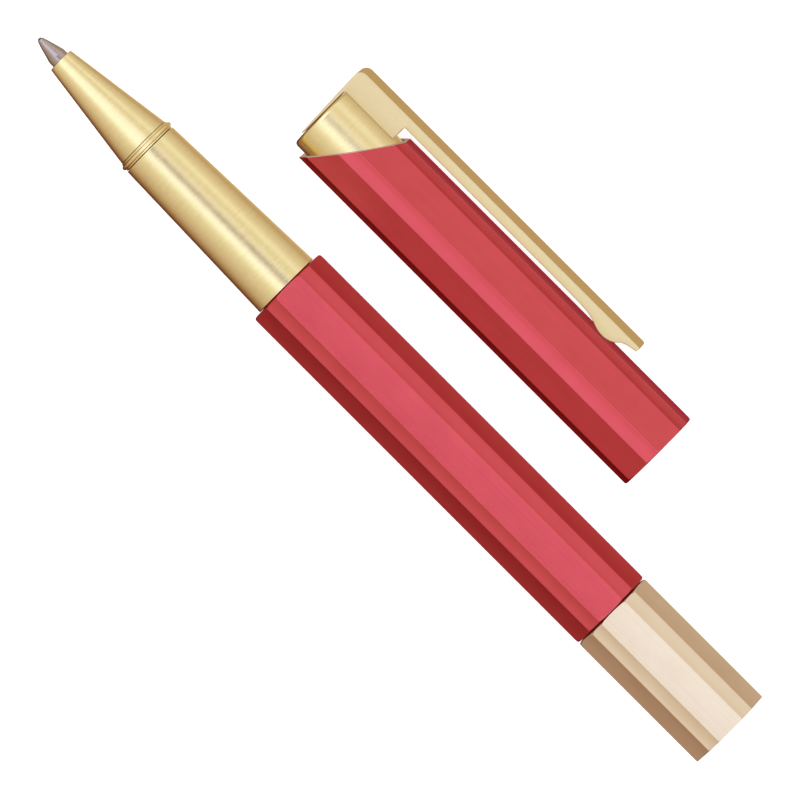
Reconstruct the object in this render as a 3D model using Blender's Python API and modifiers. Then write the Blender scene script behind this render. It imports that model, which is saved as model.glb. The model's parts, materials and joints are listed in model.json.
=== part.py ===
"""Rollerball pen lying uncapped beside its cap.

Metres, +Z up. The pen's axis runs along +X, with its writing tip at the low end, and the
cap lies beside it at the +Y side. Every length below is in millimetres until it meets MM.
Pen pieces are drawn in a frame that starts at the writing tip, with x towards the tail.
Cap pieces are drawn in a frame that starts at the cap's mouth, with the closed end at
negative x and the clip on the +Y side; that whole frame is then rolled.
"""
import math

import bmesh
import bpy

MM = 0.001

# Overall lengths along the pen, from the writing tip.
PEN_LENGTH = 126.9
NOSE_FACE = 4.03
CONE_END = 19.06
RING_FRONT = 19.28
GRIP_FRONT = 20.45
BARREL_FRONT = 45.58
BARREL_REAR = 105.09
TAIL_FRONT = 105.19

# The twelve-sided section that the barrel, the tail and the cap share: a hexagon with its
# six corners cut back to narrow flats.
CORNER_RADIUS = 6.08
WIDE_FLAT_HALF_ANGLE = 20.23
WIDE_APOTHEM = CORNER_RADIUS * math.cos(math.radians(WIDE_FLAT_HALF_ANGLE))
NARROW_APOTHEM = CORNER_RADIUS * math.cos(math.radians(30.0 - WIDE_FLAT_HALF_ANGLE))

# Barrel, bushes and tail.
BARREL_BORE = 4.95
BUSH_RADIUS = 4.87
EDGE_ROUND = 0.55
TAIL_EDGE_ROUND = 0.20
FRONT_BUSH_REAR = 56.5
CONNECTOR_FRONT = 96.0
CONNECTOR_REAR = 112.0
CONNECTOR_SPIGOT = 4.55
TAIL_SOCKET = 4.65
WASHER_RADIUS = 5.15
WASHER_POCKET = 5.22
SPRING_CHAMBER = 3.90
SPRING_CHAMBER_END = 122.5

# Section: the brass front end that unscrews from the barrel.
CONE_FRONT_RADIUS = 1.86
CONE_REAR_RADIUS = 3.87
RING_CREST = 4.32
GRIP_FRONT_RADIUS = 4.13
GRIP_REAR_RADIUS = 4.87
GRIP_REAR = 45.38
CORE_RADIUS = 3.52
CORE_BORE = 3.12
CORE_REAR = 54.4
THREAD_CREST = 3.96
THREAD_ROOT = 3.62
THREAD_PITCH = 1.2
THREAD_FRONT = 46.5
THREAD_RIDGES = 6
BUSH_THREAD_BORE = 4.06

# Refill, of the common 110 mm liquid-ink size.
REFILL_END = 110.5
REFILL_RADIUS = 3.0
REFILL_WALL = 0.35
BALL_RADIUS = 0.35
NOSE_TUBE_RADIUS = 1.30
SPRING_FRONT = 111.0
SPRING_REAR = 120.4
SPRING_RADIUS = 2.55
SPRING_WIRE = 0.22
SPRING_TURNS = 6

# Cap. Depths are measured from its mouth towards the closed end.
CAP_MOUTH = 94.87
CAP_AXIS_SPACING = 18.92
CAP_ROLL = math.radians(10.95)
CAP_BORE = 5.14
CAP_LONG_SIDE = 62.0
SLANT_DEPTH = 55.84
SLANT_SLOPE = 0.744
CAP_MOUTH_ROUND = 0.40
LINER_RADIUS = 5.03
FINIAL_RADIUS = 5.06
FINIAL_TOP = 61.75
FINIAL_BOTTOM = 49.0
FINIAL_ROUND = 0.65
FINIAL_BORE = 3.60
FINIAL_BORE_TOP = 60.3
FINIAL_FLAT = 4.80

# Clip: a flat brass strip with a plate over the finial and a web down to its side.
CLIP_WIDTH = 5.7
CLIP_OUTER = 8.45
CLIP_INNER = 7.05
CLIP_TOP = 62.42
CLIP_SPLIT = 52.45
CLIP_SPLIT_GAP = 0.10
WEB_END = 53.1
WEB_BOTTOM = 4.92
PLATE_UNDERSIDE = 61.87
PLATE_END = -3.0
SCREW_DEPTHS = {"clip_screw_upper": 58.9, "clip_screw_lower": 55.3}
SCREW_SHANK = 0.55
SCREW_HEAD = 1.0
SCREW_SEAT = 4.0
SCREW_TIP = 7.3

# The whole object stands on z = 0, centred in x and y.
# The pen lies on a wide flat, and the cap on the corner that its roll turns down.
CAP_REACH = CLIP_OUTER * math.cos(CAP_ROLL) + 0.5 * CLIP_WIDTH * math.sin(CAP_ROLL)
PEN_Y = -0.5 * (CAP_AXIS_SPACING + CAP_REACH - NARROW_APOTHEM)
CAP_Y = PEN_Y + CAP_AXIS_SPACING
PEN_Z = WIDE_APOTHEM
CAP_Z = CORNER_RADIUS * math.sin(math.radians(120.0 - WIDE_FLAT_HALF_ANGLE) - CAP_ROLL)
TIP_X = -0.5 * PEN_LENGTH

# Facets round a turned piece, and round a small one.
STEPS = 32
FINE_STEPS = 20
BAR_STEPS = 48
CUTTER_SPARE = 1.0


def clear_scene():
    for old in list(bpy.data.objects):
        bpy.data.objects.remove(old, do_unlink=True)


def new_collection(name):
    collection = bpy.data.collections.new(name)
    bpy.context.scene.collection.children.link(collection)
    return collection


def material(name, colour, roughness, metallic):
    made = bpy.data.materials.new(name)
    made.use_nodes = True
    shader = made.node_tree.nodes["Principled BSDF"]
    shader.inputs["Base Color"].default_value = (*colour, 1.0)
    shader.inputs["Roughness"].default_value = roughness
    shader.inputs["Metallic"].default_value = metallic
    made.diffuse_color = (*colour, 1.0)
    return made


def frame_empty(name, collection, location, roll=0.0, parent=None):
    empty = bpy.data.objects.new(name, None)
    empty.location = [value * MM for value in location]
    empty.rotation_euler = (roll, 0.0, 0.0)
    empty.parent = parent
    collection.objects.link(empty)
    return empty


def place(mesh, name, collection, parent, skin, rotation=(0.0, 0.0, 0.0)):
    """Link a mesh as the named piece of one frame."""
    piece = bpy.data.objects.new(name, mesh)
    piece.rotation_euler = rotation
    piece.parent = parent
    mesh.materials.append(skin)
    collection.objects.link(piece)
    return piece


def turned(name, outer, inner, collection, parent, skin, steps=STEPS):
    """A solid of revolution about the frame's x axis.

    outer and inner run from the front to the rear as (x, radius). A piece with no bore has
    no inner list, and its outer one starts and ends on the axis.
    """
    outline = list(reversed(outer)) + list(inner)
    count = len(outline)
    links = [(index, index + 1) for index in range(count - 1)]
    if inner:
        links.append((count - 1, 0))
    mesh = bpy.data.meshes.new(name)
    mesh.from_pydata([(radius * MM, 0.0, x * MM) for x, radius in outline], links, [])
    piece = place(mesh, name, collection, parent, skin, (0.0, math.pi / 2, 0.0))
    spin = piece.modifiers.new("Spin", "SCREW")
    spin.steps = steps
    spin.render_steps = steps
    spin.use_merge_vertices = True
    spin.merge_threshold = 1e-6
    spin.use_smooth_shade = True
    return piece


def extruded(name, outline, depth, collection, parent, skin, rotation=(0.0, 0.0, 0.0)):
    """A flat outline given thickness, centred on its own plane, as a welded mesh."""
    curve = bpy.data.curves.new(name, "CURVE")
    curve.dimensions = "2D"
    curve.fill_mode = "BOTH"
    curve.extrude = 0.5 * depth * MM
    spline = curve.splines.new("POLY")
    spline.points.add(len(outline) - 1)
    for point, (x, y) in zip(spline.points, outline):
        point.co = (x * MM, y * MM, 0.0, 1.0)
    spline.use_cyclic_u = True
    drawn = bpy.data.objects.new(name, curve)
    collection.objects.link(drawn)
    mesh = bpy.data.meshes.new_from_object(drawn.evaluated_get(bpy.context.evaluated_depsgraph_get()))
    bpy.data.objects.remove(drawn)
    shape = bmesh.new()
    shape.from_mesh(mesh)
    bmesh.ops.remove_doubles(shape, verts=shape.verts, dist=1e-7)
    bmesh.ops.recalc_face_normals(shape, faces=shape.faces)
    shape.to_mesh(mesh)
    shape.free()
    mesh.materials.clear()
    return place(mesh, name, collection, parent, skin, rotation)


def arc(centre_x, centre_y, radius, start, end, count=4):
    """Points on an arc, with its angles in degrees."""
    points = []
    for index in range(count):
        angle = math.radians(start + (end - start) * index / (count - 1))
        points.append((centre_x + radius * math.cos(angle), centre_y + radius * math.sin(angle)))
    return points


def twelve_sided(name, front, rear, turn, collection, parent, skin):
    """The shared section as a bar. turn, in degrees, rolls a wide flat away from +Y."""
    outline = []
    for side in range(6):
        for edge in (-WIDE_FLAT_HALF_ANGLE, WIDE_FLAT_HALF_ANGLE):
            angle = math.radians(60.0 * side + turn + edge)
            outline.append((-CORNER_RADIUS * math.sin(angle), CORNER_RADIUS * math.cos(angle)))
    rotation = (0.0, math.pi / 2, 0.0)
    bar = extruded(name, outline, rear - front, collection, parent, skin, rotation)
    bar.location = (0.5 * (front + rear) * MM, 0.0, 0.0)
    return bar


def combine(piece, cutter, operation):
    """Cut or trim a piece with another, and leave the tool hidden."""
    step = piece.modifiers.new(operation.capitalize(), "BOOLEAN")
    step.operation = operation
    step.solver = "EXACT"
    step.object = cutter
    cutter.hide_render = True
    cutter.display_type = "WIRE"


def torus(name, x, major, minor, collection, parent, skin):
    """A round ring about the frame's axis."""
    bpy.ops.mesh.primitive_torus_add(
        major_segments=STEPS, minor_segments=8, major_radius=major * MM, minor_radius=minor * MM
    )
    ring = bpy.context.object
    mesh = ring.data
    bpy.data.objects.remove(ring)
    mesh.name = name
    mesh.shade_smooth()
    ring = place(mesh, name, collection, parent, skin, (0.0, math.pi / 2, 0.0))
    ring.location = (x * MM, 0.0, 0.0)
    return ring


def wire(name, points, radius, collection, parent, skin):
    """Round wire along a list of points."""
    curve = bpy.data.curves.new(name, "CURVE")
    curve.dimensions = "3D"
    curve.bevel_depth = radius * MM
    curve.bevel_resolution = 2
    curve.use_fill_caps = True
    spline = curve.splines.new("POLY")
    spline.points.add(len(points) - 1)
    for point, place_mm in zip(spline.points, points):
        point.co = (*[value * MM for value in place_mm], 1.0)
    spline.use_smooth = True
    piece = bpy.data.objects.new(name, curve)
    piece.parent = parent
    curve.materials.append(skin)
    collection.objects.link(piece)
    return piece


def ring_blank(front, rear, front_round, rear_round, bore, name, tools, parent, skin):
    """The turned tool that a bar is trimmed to: round-edged ends and the bore.

    bore runs from front to rear as (x, radius) and starts and ends on the end faces.
    """
    reach = CORNER_RADIUS + 0.01
    outer = arc(front + front_round, reach - front_round, front_round, 180.0, 90.0)
    outer += arc(rear - rear_round, reach - rear_round, rear_round, 90.0, 0.0)
    return turned(name, outer, bore, tools, parent, skin, BAR_STEPS)


# ---------------------------------------------------------------- pen


def make_barrel(parts, tools, frame, red):
    """The red barrel: a trimmed bar, open from end to end."""
    bar = twelve_sided(
        "barrel", BARREL_FRONT - CUTTER_SPARE, BARREL_REAR + CUTTER_SPARE, 30.0, parts, frame, red
    )
    bore = [
        (BARREL_FRONT, BARREL_BORE),
        (BARREL_REAR - 0.35, BARREL_BORE),
        (BARREL_REAR - 0.35, WASHER_POCKET),
        (BARREL_REAR, WASHER_POCKET),
    ]
    blank = ring_blank(
        BARREL_FRONT, BARREL_REAR, EDGE_ROUND, EDGE_ROUND, bore, "barrel_blank", tools, frame, red
    )
    combine(bar, blank, "INTERSECT")


def make_front_bush(parts, frame, brass):
    """Threaded bush in the barrel's mouth, which the section screws into."""
    front = BARREL_FRONT + 0.12
    outer = [(front, BUSH_RADIUS), (FRONT_BUSH_REAR, BUSH_RADIUS)]
    inner = [(front, 4.5), (46.15, 4.5), (46.15, BUSH_THREAD_BORE), (FRONT_BUSH_REAR, BUSH_THREAD_BORE)]
    turned("barrel_front_bush", outer, inner, parts, frame, brass)


def make_tail_connector(parts, frame, brass):
    """Hollow stud that joins the tail to the barrel and lets the refill through."""
    outer = [
        (CONNECTOR_FRONT, BUSH_RADIUS),
        (BARREL_REAR - 0.5, BUSH_RADIUS),
        (BARREL_REAR - 0.5, CONNECTOR_SPIGOT),
        (CONNECTOR_REAR, CONNECTOR_SPIGOT),
    ]
    inner = [(CONNECTOR_FRONT, 3.7), (97.5, 3.3), (CONNECTOR_REAR, 3.3)]
    turned("tail_connector", outer, inner, parts, frame, brass)


def make_tail_washer(parts, frame, rubber):
    """Thin black washer, seated in a pocket across the joint of barrel and tail."""
    front = BARREL_REAR - 0.25
    rear = TAIL_FRONT + 0.25
    outer = [(front, WASHER_RADIUS), (rear, WASHER_RADIUS)]
    inner = [(front, CONNECTOR_SPIGOT + 0.08), (rear, CONNECTOR_SPIGOT + 0.08)]
    turned("tail_washer", outer, inner, parts, frame, rubber)


def make_tail(parts, tools, frame, champagne):
    """Champagne tail piece with a stepped blind bore."""
    bar = twelve_sided(
        "tail_piece", TAIL_FRONT - CUTTER_SPARE, PEN_LENGTH + CUTTER_SPARE, 30.0, parts, frame, champagne
    )
    reach = CORNER_RADIUS + 0.01
    outer = [
        (TAIL_FRONT, WASHER_POCKET),
        *arc(TAIL_FRONT + EDGE_ROUND, reach - EDGE_ROUND, EDGE_ROUND, 180.0, 90.0),
        *arc(PEN_LENGTH - TAIL_EDGE_ROUND, reach - TAIL_EDGE_ROUND, TAIL_EDGE_ROUND, 90.0, 0.0),
        (PEN_LENGTH, 0.0),
    ]
    socket = [
        (SPRING_CHAMBER_END, 0.0),
        (SPRING_CHAMBER_END, SPRING_CHAMBER),
        (CONNECTOR_REAR + 0.4, SPRING_CHAMBER),
        (CONNECTOR_REAR + 0.4, TAIL_SOCKET),
        (TAIL_FRONT + 0.35, TAIL_SOCKET),
        (TAIL_FRONT + 0.35, WASHER_POCKET),
    ]
    blank = turned("tail_blank", socket + outer, [], tools, frame, champagne, BAR_STEPS)
    combine(bar, blank, "INTERSECT")


def make_spring_cup(parts, frame, plastic):
    """Plastic cup at the bottom of the tail's bore, which the spring stands in."""
    outer = [(118.6, 3.12), (118.6, 3.8), (122.2, 3.8), (122.2, 0.0)]
    inside = [(SPRING_REAR + 0.3, 0.0), (SPRING_REAR + 0.3, 3.12)]
    turned("spring_cup", inside + outer, [], parts, frame, plastic)


def make_refill_spring(parts, frame, steel):
    """Compression spring behind the refill."""
    points = []
    per_turn = 12
    span = SPRING_REAR - SPRING_FRONT - 2 * SPRING_WIRE
    total = SPRING_TURNS * per_turn
    for index in range(total + 1):
        angle = 2 * math.pi * index / per_turn
        x = SPRING_FRONT + SPRING_WIRE + span * index / total
        points.append((x, SPRING_RADIUS * math.cos(angle), SPRING_RADIUS * math.sin(angle)))
    wire("refill_spring", points, SPRING_WIRE, parts, frame, steel)


# ---------------------------------------------------------------- section


def make_nose_cone(parts, frame, brass):
    """Brass cone at the front of the section, bored for the refill's steel nose."""
    outer = arc(NOSE_FACE + 0.25, CONE_FRONT_RADIUS - 0.22, 0.25, 180.0, 95.0, 4)
    outer.append((CONE_END, CONE_REAR_RADIUS))
    inner = [
        (NOSE_FACE, 1.38),
        (10.7, 1.38),
        (10.7, 2.0),
        (16.6, 2.0),
        (16.6, 3.15),
        (CONE_END, 3.15),
    ]
    turned("nose_cone", outer, inner, parts, frame, brass)


def make_catch_ring(parts, frame, brass):
    """Rounded ring that the cap snaps over."""
    outer = [
        (RING_FRONT, 3.86),
        (19.42, 4.02),
        (19.62, 4.24),
        (19.87, RING_CREST),
        (20.08, 4.26),
        (20.26, 4.13),
        (20.35, 4.05),
    ]
    inner = [(RING_FRONT, 3.16), (20.35, 3.16)]
    turned("catch_ring", outer, inner, parts, frame, brass)


def make_grip_sleeve(parts, frame, brass):
    """Long brass sleeve that the fingers hold."""
    outer = [
        (GRIP_FRONT, GRIP_FRONT_RADIUS - 0.05),
        (GRIP_FRONT + 0.08, GRIP_FRONT_RADIUS),
        (GRIP_REAR - 0.1, GRIP_REAR_RADIUS),
        (GRIP_REAR, GRIP_REAR_RADIUS - 0.08),
    ]
    inner = [(GRIP_FRONT, CORE_RADIUS + 0.08), (GRIP_REAR, CORE_RADIUS + 0.08)]
    turned("grip_sleeve", outer, inner, parts, frame, brass)


def make_section_core(parts, frame, brass):
    """Tube that carries the cone, ring and sleeve, with the male thread at its rear."""
    outer = [(16.8, 3.08), (20.6, 3.08), (20.6, CORE_RADIUS), (THREAD_FRONT - 0.3, CORE_RADIUS)]
    for ridge in range(THREAD_RIDGES):
        start = THREAD_FRONT + ridge * THREAD_PITCH
        outer.append((start, THREAD_ROOT))
        outer.append((start + 0.35 * THREAD_PITCH, THREAD_CREST))
        outer.append((start + 0.50 * THREAD_PITCH, THREAD_CREST))
        outer.append((start + 0.85 * THREAD_PITCH, THREAD_ROOT))
    outer.append((CORE_REAR, THREAD_ROOT))
    inner = [(16.8, 2.6), (21.3, 2.6), (21.3, CORE_BORE), (CORE_REAR, CORE_BORE)]
    turned("section_core", outer, inner, parts, frame, brass)


def make_section_seal(parts, frame, rubber):
    """O-ring at the root of the thread, between the section and the barrel."""
    torus("section_seal", 45.76, 4.02, 0.30, parts, frame, rubber)


# ---------------------------------------------------------------- refill


def make_refill_tip(parts, frame, steel):
    """Steel nose with the ball's socket; the front lip closes in on the ball."""
    outer = [
        (0.22, 0.345),
        (0.26, 0.42),
        (0.97, 0.66),
        (1.75, 0.88),
        (2.53, 1.10),
        (3.25, NOSE_TUBE_RADIUS),
        (10.9, NOSE_TUBE_RADIUS),
        (10.9, 1.08),
        (14.0, 1.08),
    ]
    inner = [(0.22, 0.342), (0.36, 0.385), (0.55, 0.385), (0.80, 0.20), (5.0, 0.20), (5.0, 0.62), (14.0, 0.62)]
    turned("refill_tip", outer, inner, parts, frame, steel, FINE_STEPS)


def make_refill_ball(parts, frame, carbide):
    """The writing ball, free in its socket."""
    bpy.ops.mesh.primitive_uv_sphere_add(segments=20, ring_count=10, radius=BALL_RADIUS * MM)
    ball = bpy.context.object
    mesh = ball.data
    bpy.data.objects.remove(ball)
    mesh.name = "refill_ball"
    mesh.shade_smooth()
    ball = place(mesh, "refill_ball", parts, frame, carbide, (0.0, math.pi / 2, 0.0))
    ball.location = (BALL_RADIUS * MM, 0.0, 0.0)


def make_refill_holder(parts, frame, plastic):
    """Plastic shoulder between the steel nose and the tube."""
    outer = [
        (11.1, 1.9),
        (17.0, 1.9),
        (17.0, 2.5),
        (21.7, 2.5),
        (22.2, 2.95),
        (22.8, 2.95),
        (22.8, 2.55),
        (27.0, 2.55),
    ]
    inner = [(11.1, 1.16), (14.2, 1.16), (14.2, 0.62), (27.0, 0.62)]
    turned("refill_holder", outer, inner, parts, frame, plastic, FINE_STEPS)


def make_refill_tube(parts, frame, shell):
    """The refill's long tube."""
    outer = [(22.9, REFILL_RADIUS), (108.3, REFILL_RADIUS)]
    inner = [(22.9, REFILL_RADIUS - REFILL_WALL), (108.3, REFILL_RADIUS - REFILL_WALL)]
    turned("refill_tube", outer, inner, parts, frame, shell)


def make_refill_feed(parts, frame, fibre):
    """Fibre rod that carries ink from the filler to the ball."""
    outer = [(5.3, 0.0), (5.3, 0.52), (42.0, 0.52), (42.0, 0.0)]
    turned("refill_feed_rod", outer, [], parts, frame, fibre, FINE_STEPS)


def make_refill_filler(parts, frame, fibre):
    """Ink-soaked filler in the tube, with a blind hole for the feed rod."""
    outer = [(27.5, 2.5), (101.0, 2.5), (101.0, 0.0)]
    pocket = [(43.0, 0.0), (43.0, 0.64), (27.5, 0.64)]
    turned("refill_ink_filler", pocket + outer, [], parts, frame, fibre, FINE_STEPS)


def make_refill_plug(parts, frame, plastic):
    """Plug that closes the rear of the tube."""
    outer = [
        (103.0, 0.0),
        (103.0, 2.45),
        (103.2, 2.55),
        (108.4, 2.55),
        (108.4, REFILL_RADIUS),
        (110.1, REFILL_RADIUS),
        (REFILL_END, 2.6),
        (REFILL_END, 0.0),
    ]
    turned("refill_plug", outer, [], parts, frame, plastic, FINE_STEPS)


# ---------------------------------------------------------------- cap


def make_cap_shell(parts, tools, frame, red):
    """The red cap: the shared section with a square mouth and a slanted closed end."""
    bar = twelve_sided("cap_shell", -CAP_LONG_SIDE, CUTTER_SPARE, 0.0, parts, frame, red)
    front = -CAP_LONG_SIDE - CUTTER_SPARE
    bore = [(front, CAP_BORE), (0.0, CAP_BORE)]
    blank = ring_blank(
        front, 0.0, CAP_MOUTH_ROUND, CAP_MOUTH_ROUND, bore, "cap_blank", tools, frame, red
    )
    combine(bar, blank, "INTERSECT")
    size = 40.0
    lean = math.pi - math.atan(SLANT_SLOPE)
    bpy.ops.mesh.primitive_cube_add(size=size * MM)
    cube = bpy.context.object
    mesh = cube.data
    bpy.data.objects.remove(cube)
    knife = place(mesh, "slant_knife", tools, frame, red, (0.0, 0.0, lean))
    knife.location = (
        (-SLANT_DEPTH + 0.5 * size * math.cos(lean)) * MM,
        0.5 * size * math.sin(lean) * MM,
        0.0,
    )
    combine(bar, knife, "DIFFERENCE")


def make_inner_cap(parts, frame, plastic):
    """Plastic liner that holds the snap ring and closes round the writing tip."""
    outer = [(-48.4, 0.0), (-48.4, LINER_RADIUS - 0.4), (-48.0, LINER_RADIUS), (-12.0, LINER_RADIUS)]
    bore = [
        (-12.0, 4.75),
        (-24.6, 4.66),
        (-24.6, 4.86),
        (-26.3, 4.86),
        (-26.3, 4.2),
        (-41.8, 2.7),
        (-41.8, 2.1),
        (-47.0, 2.1),
        (-47.0, 0.0),
    ]
    turned("inner_cap", outer + bore, [], parts, frame, plastic)


def make_snap_ring(parts, frame, steel):
    """Split steel ring in the liner's groove, which springs over the catch ring."""
    middle = 4.52
    opening = 24.0
    count = 24
    points = []
    for index in range(count + 1):
        angle = math.radians(opening + (360.0 - 2 * opening) * index / count)
        points.append((-25.45, middle * math.cos(angle), middle * math.sin(angle)))
    wire("cap_snap_ring", points, 0.25, parts, frame, steel)


def make_tip_seal(parts, frame, rubber):
    """Soft pad at the bottom of the liner, which keeps the tip from drying."""
    outer = [(-46.85, 0.0), (-46.85, 2.0), (-45.9, 2.0), (-45.8, 1.8), (-45.8, 0.0)]
    turned("tip_seal", outer, [], parts, frame, rubber, FINE_STEPS)


def box_cutter(name, low, high, tools, frame, skin):
    """A plain block between two corners, used as a tool."""
    bpy.ops.mesh.primitive_cube_add(size=1.0)
    cube = bpy.context.object
    mesh = cube.data
    bpy.data.objects.remove(cube)
    for vertex in mesh.vertices:
        vertex.co = [
            (0.5 * (a + b) + corner * (b - a)) * MM for a, b, corner in zip(low, high, vertex.co)
        ]
    return place(mesh, name, tools, frame, skin)


def drill(name, depth, low, high, radius, tools, frame, skin):
    """A round tool square to the clip's face, between two heights."""
    bpy.ops.mesh.primitive_cylinder_add(vertices=FINE_STEPS, radius=radius * MM, depth=(high - low) * MM)
    rod = bpy.context.object
    mesh = rod.data
    bpy.data.objects.remove(rod)
    tool = place(mesh, name, tools, frame, skin, (math.pi / 2, 0.0, 0.0))
    tool.location = (-depth * MM, 0.5 * (low + high) * MM, 0.0)
    return tool


def make_finial(parts, tools, frame, brass):
    """Round brass plug in the closed end, with a flat and two holes for the clip."""
    outer = arc(-FINIAL_TOP + FINIAL_ROUND, FINIAL_RADIUS - FINIAL_ROUND, FINIAL_ROUND, 180.0, 90.0)
    outer = [(-FINIAL_TOP, 0.0), *outer, (-FINIAL_BOTTOM, FINIAL_RADIUS)]
    bore = [(-FINIAL_BOTTOM, FINIAL_BORE), (-FINIAL_BORE_TOP, FINIAL_BORE), (-FINIAL_BORE_TOP, 0.0)]
    finial = turned("cap_finial", outer + bore, [], parts, frame, brass)
    low = (-FINIAL_TOP - CUTTER_SPARE, FINIAL_FLAT, -FINIAL_RADIUS)
    high = (-WEB_END + 0.12, FINIAL_RADIUS + CUTTER_SPARE, FINIAL_RADIUS)
    combine(finial, box_cutter("finial_flat", low, high, tools, frame, brass), "DIFFERENCE")
    for name, depth in SCREW_DEPTHS.items():
        hole = drill(name + "_hole", depth, 2.0, 6.0, SCREW_SHANK + 0.1, tools, frame, brass)
        combine(finial, hole, "DIFFERENCE")
        seat = drill(name + "_seat", depth, 2.0, SCREW_SEAT, SCREW_HEAD + 0.1, tools, frame, brass)
        combine(finial, seat, "DIFFERENCE")


def make_clip_screw(name, depth, parts, frame, steel):
    """One small screw from inside the finial up into the clip's web."""
    outer = [
        (SCREW_SEAT - 0.75, 0.0),
        (SCREW_SEAT - 0.75, SCREW_HEAD - 0.1),
        (SCREW_SEAT - 0.65, SCREW_HEAD),
        (SCREW_SEAT - 0.05, SCREW_HEAD),
        (SCREW_SEAT - 0.05, SCREW_SHANK),
        (SCREW_TIP, SCREW_SHANK),
        (SCREW_TIP, 0.0),
    ]
    screw = turned(name, outer, [], parts, frame, steel, FINE_STEPS // 2)
    screw.rotation_euler = (-math.pi / 2, 0.0, 0.0)
    screw.location = (-depth * MM, 0.0, 0.0)


def make_clip_head(parts, tools, frame, brass):
    """The clip's fixed part: the plate over the finial, the web and the arm's root."""
    corner = 1.1
    split = -CLIP_SPLIT - 0.5 * CLIP_SPLIT_GAP
    outline = [
        (-PLATE_UNDERSIDE, PLATE_END),
        (-PLATE_UNDERSIDE - 0.18, PLATE_END),
        *arc(-CLIP_TOP + corner, CLIP_OUTER - corner, corner, 180.0, 90.0, 6),
        (split, CLIP_OUTER),
        (split, CLIP_INNER),
        *arc(-WEB_END + 0.35, CLIP_INNER - 0.35, 0.35, 90.0, 180.0, 4),
        (-WEB_END, WEB_BOTTOM),
        *arc(-PLATE_UNDERSIDE + 0.3, WEB_BOTTOM - 0.3, 0.3, 90.0, 180.0, 4),
    ]
    head = extruded("clip_head", outline, CLIP_WIDTH, parts, frame, brass)
    for name, depth in SCREW_DEPTHS.items():
        hole = drill(name + "_thread", depth, 4.0, SCREW_TIP + 0.2, SCREW_SHANK + 0.08, tools, frame, brass)
        combine(head, hole, "DIFFERENCE")


def make_clip_arm(parts, frame, brass):
    """The clip's springing arm, with a rounded foot near its end. Its frame is its hinge."""
    start = -CLIP_SPLIT + 0.5 * CLIP_SPLIT_GAP
    outline = [
        (start, CLIP_INNER),
        (start, CLIP_OUTER),
        *arc(-11.2 - 0.3, CLIP_OUTER - 0.3, 0.3, 90.0, 0.0, 4),
        (-11.3, 7.75),
        (-13.2, 7.25),
        *arc(-15.6, 7.6, 1.6, -30.0, -115.0, 7),
        (-18.0, 6.62),
        (-20.0, 6.94),
        (-24.0, CLIP_INNER),
    ]
    shifted = [(x + CLIP_SPLIT, y - 0.5 * (CLIP_INNER + CLIP_OUTER)) for x, y in outline]
    extruded("clip_arm", shifted, CLIP_WIDTH, parts, frame, brass)


def main():
    clear_scene()
    parts = new_collection("rollerball_pen")
    tools = new_collection("cutters")
    pen = frame_empty("pen_axis", parts, (TIP_X, PEN_Y, PEN_Z))
    cap = frame_empty("cap_axis", parts, (TIP_X + CAP_MOUTH, CAP_Y, CAP_Z), CAP_ROLL)
    hinge = (-CLIP_SPLIT, 0.5 * (CLIP_INNER + CLIP_OUTER), 0.0)
    clip = frame_empty("clip_hinge", parts, hinge, 0.0, cap)
    bpy.context.view_layer.update()

    red = material("red_anodised", (0.50, 0.045, 0.065), 0.38, 0.85)
    champagne = material("champagne_anodised", (0.80, 0.68, 0.50), 0.36, 0.9)
    brass = material("brushed_brass", (0.78, 0.60, 0.27), 0.32, 1.0)
    steel = material("steel", (0.55, 0.53, 0.52), 0.28, 1.0)
    carbide = material("carbide", (0.20, 0.19, 0.20), 0.22, 1.0)
    rubber = material("black_rubber", (0.02, 0.02, 0.02), 0.75, 0.0)
    black = material("black_plastic", (0.03, 0.03, 0.03), 0.5, 0.0)
    white = material("white_plastic", (0.75, 0.75, 0.72), 0.45, 0.0)
    fibre = material("inked_fibre", (0.03, 0.05, 0.16), 0.85, 0.0)

    make_barrel(parts, tools, pen, red)
    make_front_bush(parts, pen, brass)
    make_tail_connector(parts, pen, brass)
    make_tail_washer(parts, pen, rubber)
    make_tail(parts, tools, pen, champagne)
    make_spring_cup(parts, pen, black)
    make_refill_spring(parts, pen, steel)

    make_nose_cone(parts, pen, brass)
    make_catch_ring(parts, pen, brass)
    make_grip_sleeve(parts, pen, brass)
    make_section_core(parts, pen, brass)
    make_section_seal(parts, pen, rubber)

    make_refill_tip(parts, pen, steel)
    make_refill_ball(parts, pen, carbide)
    make_refill_holder(parts, pen, black)
    make_refill_tube(parts, pen, white)
    make_refill_feed(parts, pen, fibre)
    make_refill_filler(parts, pen, fibre)
    make_refill_plug(parts, pen, black)

    make_cap_shell(parts, tools, cap, red)
    make_inner_cap(parts, cap, black)
    make_snap_ring(parts, cap, steel)
    make_tip_seal(parts, cap, rubber)
    make_finial(parts, tools, cap, brass)
    for name, depth in SCREW_DEPTHS.items():
        make_clip_screw(name, depth, parts, cap, steel)
    make_clip_head(parts, tools, cap, brass)
    make_clip_arm(parts, clip, brass)


main()
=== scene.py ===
"""Rollerball pen lying uncapped beside its cap, on a pale table in soft studio light.

The frame is in metres, with the pen's axis along +X, its writing tip at the low end and the
cap at the +Y side. Pieces are drawn in millimetres: pen pieces from the writing tip towards
the tail, cap pieces from the cap's mouth, with the closed end at negative x and the clip on
the +Y side before the cap's roll.
"""
import json
import math

import bmesh
import bpy
from mathutils import Matrix, Vector


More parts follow.
